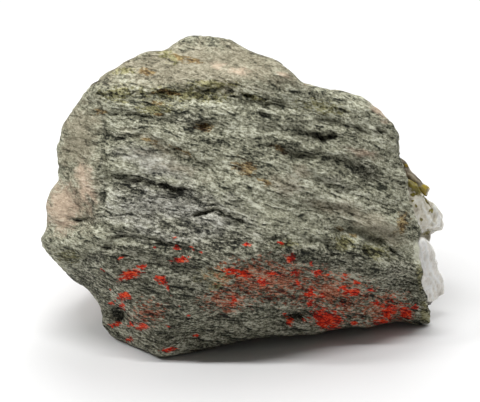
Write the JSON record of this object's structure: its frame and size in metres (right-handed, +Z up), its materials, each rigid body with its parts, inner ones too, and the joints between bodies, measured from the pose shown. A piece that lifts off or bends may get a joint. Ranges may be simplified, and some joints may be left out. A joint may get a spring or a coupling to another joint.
{
  "type": "mineral specimen",
  "caption": "Irregular grey-green rock hand specimen with red-orange coating patches, and milky crystals and an olive blade on its right flank; rests on a flat underside.",
  "frame": {"origin": "on the ground, under the middle of the whole specimen", "axes": "+X to the right along the length, +Y to the back, +Z up; the coated lower band faces -Y"},
  "size_m": [0.1028, 0.0626, 0.0734],
  "materials": {
    "host_rock": "rough foliated grey-green rock with tan, olive, pink and rust stains and patches of matt red-orange coating",
    "lower_crystal": "milky, streaked and slightly translucent",
    "upper_crystal": "milky, warm white, slightly translucent, with olive spots",
    "olive_blade": "glassy grey-brown, turning olive-mustard at the tip"
  },
  "bodies": {
    "root": {"host_rock": "host_rock", "lower_crystal": "lower_crystal", "upper_crystal": "upper_crystal", "olive_blade": "olive_blade"}
  },
  "joints": []
}
